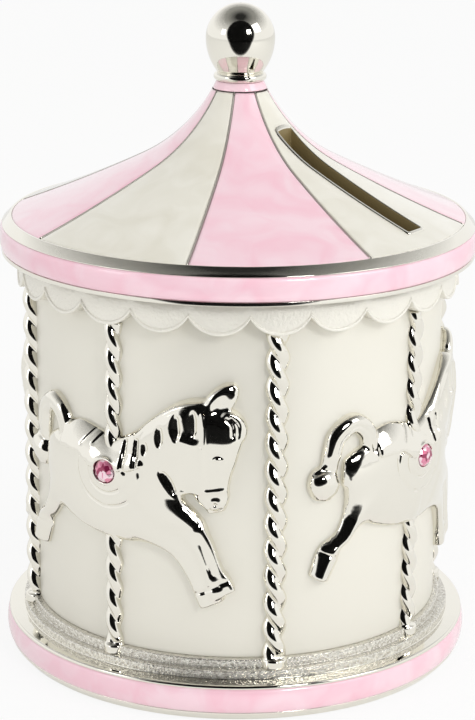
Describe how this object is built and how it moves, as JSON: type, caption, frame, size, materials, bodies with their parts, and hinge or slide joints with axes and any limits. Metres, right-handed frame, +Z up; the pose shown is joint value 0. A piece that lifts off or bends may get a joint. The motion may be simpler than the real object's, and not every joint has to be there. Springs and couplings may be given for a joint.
{
  "type": "carousel musical money box",
  "caption": "Round carousel money box with relief horses on a plated drum, an enamelled tent roof with a coin slot, and a wind-up music movement under the coin tray.",
  "frame": {"origin": "centre of the foot ring, on the table", "axes": "+Z up; +X through the coin slot"},
  "size_m": [0.1058, 0.1058, 0.1453],
  "materials": {
    "silver_plate": "polished silver plate",
    "rose_enamel": "glossy pearl enamel",
    "pink_enamel": "glossy pearl enamel",
    "ivory_enamel": "glossy pearl enamel",
    "pink_crystal": "faceted",
    "painted_plate": "satin",
    "rubber": "matt translucent",
    "tray_plastic": "moulded",
    "brass": "machined",
    "steel": "bright"
  },
  "bodies": {
    "carousel": {"base_casting": "silver_plate", "base_enamel_band": "rose_enamel", "base_plate": "painted_plate", "coin_tray": "tray_plastic", "column_1": "silver_plate", "column_2": "silver_plate", "column_3": "silver_plate", "column_4": "silver_plate", "comb_block": "steel", "comb_screws": "steel", "crystal_1": "pink_crystal", "crystal_2": "pink_crystal", "crystal_3": "pink_crystal", "crystal_4": "pink_crystal", "drum": "silver_plate", "finial": "silver_plate", "finial_nut": "steel", "finial_stud": "steel", "governor_bracket": "brass", "horse_1": "silver_plate", "horse_2": "silver_plate", "horse_3": "silver_plate", "horse_4": "silver_plate", "left_bearing_plate": "brass", "mainspring": "steel", "movement_bedplate": "brass", "movement_screws": "steel", "peak_ring": "pink_enamel", "plate_screws": "steel", "pole_1": "silver_plate", "pole_2": "silver_plate", "pole_3": "silver_plate", "pole_4": "silver_plate", "right_bearing_plate": "brass", "roof_enamel_band": "rose_enamel", "roof_panel_1": "ivory_enamel", "roof_panel_2": "pink_enamel", "roof_panel_3": "ivory_enamel", "roof_panel_4": "pink_enamel", "roof_panel_5": "ivory_enamel", "roof_panel_6": "pink_enamel", "roof_panel_7": "ivory_enamel", "roof_panel_8": "pink_enamel", "roof_shell": "silver_plate", "slot_frame": "silver_plate", "spring_cup": "steel", "tone_comb": "steel", "valance": "silver_plate"},
    "winding": {"winding_key": "steel", "winding_arbor": "steel", "crown_wheel": "brass"},
    "cylinder": {"tune_cylinder": "brass", "cylinder_shaft": "steel", "cylinder_pinion": "brass", "cylinder_wheel": "brass"},
    "governor_shaft": {"governor_wheel": "brass"},
    "fly": {"governor_fly": "steel"},
    "stopper": {"coin_stopper": "rubber"}
  },
  "joints": [
    {"name": "key_turn", "type": "hinge", "parent": "carousel", "child": "winding", "pos_m": [-0.011, 0.012, 0.01], "axis": [0, 0, 1], "continuous": true},
    {"name": "cylinder_turn", "type": "hinge", "parent": "carousel", "child": "cylinder", "pos_m": [0.01, 0.012, 0.024], "axis": [1, 0, 0], "continuous": true},
    {"name": "governor_turn", "type": "hinge", "parent": "carousel", "child": "governor_shaft", "pos_m": [0.015, 0.00075, 0.024], "axis": [1, 0, 0], "continuous": true},
    {"name": "fly_turn", "type": "hinge", "parent": "carousel", "child": "fly", "pos_m": [0.0151, -0.0042, 0.024], "axis": [0, 0, 1], "continuous": true},
    {"name": "stopper_pull", "type": "slide", "parent": "carousel", "child": "stopper", "axis": [0, 0, -1], "range_m": [0, 0.02]}
  ],
  "couplings": [
    {"joint": "cylinder_turn", "follows": "key_turn", "ratio": 2.4},
    {"joint": "governor_turn", "follows": "key_turn", "ratio": -9.6},
    {"joint": "fly_turn", "follows": "key_turn", "ratio": -28.8}
  ]
}
